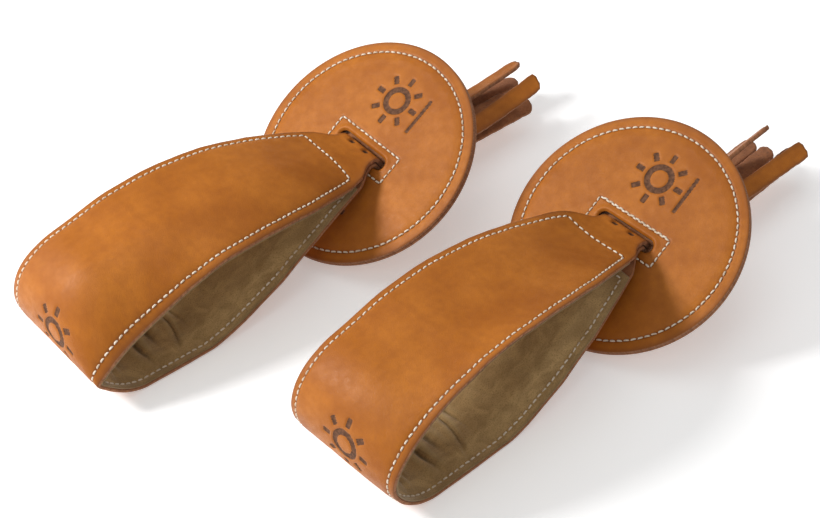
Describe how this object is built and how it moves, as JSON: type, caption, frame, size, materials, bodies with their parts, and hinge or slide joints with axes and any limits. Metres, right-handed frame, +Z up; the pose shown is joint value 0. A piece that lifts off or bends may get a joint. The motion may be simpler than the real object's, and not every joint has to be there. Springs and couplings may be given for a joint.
{
  "type": "cymbal hand straps",
  "caption": "Pair of stitched leather hand straps with padded suede-lined loops, round leather pads and slit tie tails, for holding crash cymbals.",
  "frame": {"origin": "on the table under the middle of the pair's bounding box", "axes": "+X along the straps from the closed end of the hand loops to the tails, +Y across the straps towards strap a, +Z up"},
  "size_m": [0.4528, 0.3056, 0.0846],
  "materials": {
    "grain_leather": "smooth waxed tan grain",
    "tail_leather": "tan grain on one side, rough red-brown flesh on the other",
    "suede": "napped olive-khaki suede",
    "foam": "open-cell sheet",
    "felt": "pressed wool felt",
    "thread": "waxed off-white sewing thread"
  },
  "bodies": {
    "pad_a": {"pad_a_top_leather": "grain_leather", "pad_a_felt_core": "felt", "pad_a_bottom_leather": "grain_leather", "pad_a_rim_thread": "thread", "pad_a_slot_thread": "thread", "tails_a_upper": "tail_leather", "tails_a_lower": "tail_leather"},
    "loop_a": {"loop_a_leather": "grain_leather", "loop_a_foam": "foam", "loop_a_suede_lining": "suede", "loop_a_seam_thread": "thread"},
    "pad_b": {"pad_b_top_leather": "grain_leather", "pad_b_felt_core": "felt", "pad_b_bottom_leather": "grain_leather", "pad_b_rim_thread": "thread", "pad_b_slot_thread": "thread", "tails_b_upper": "tail_leather", "tails_b_lower": "tail_leather"},
    "loop_b": {"loop_b_leather": "grain_leather", "loop_b_foam": "foam", "loop_b_suede_lining": "suede", "loop_b_seam_thread": "thread"}
  },
  "joints": [
    {"name": "loop_a_fold", "type": "hinge", "parent": "pad_a", "child": "loop_a", "pos_m": [-0.0004, 0.07882, 0.04827], "axis": [0.014, 0.9999, 0], "range_deg": [0, 114]},
    {"name": "strap_b_lift", "type": "slide", "parent": "pad_a", "child": "pad_b", "axis": [0, 0, 1], "range_m": [0, 0.12]},
    {"name": "loop_b_fold", "type": "hinge", "parent": "pad_b", "child": "loop_b", "pos_m": [0.0683, -0.07896, 0.04827], "axis": [-0.0436, 0.999, 0], "range_deg": [0, 114]}
  ]
}
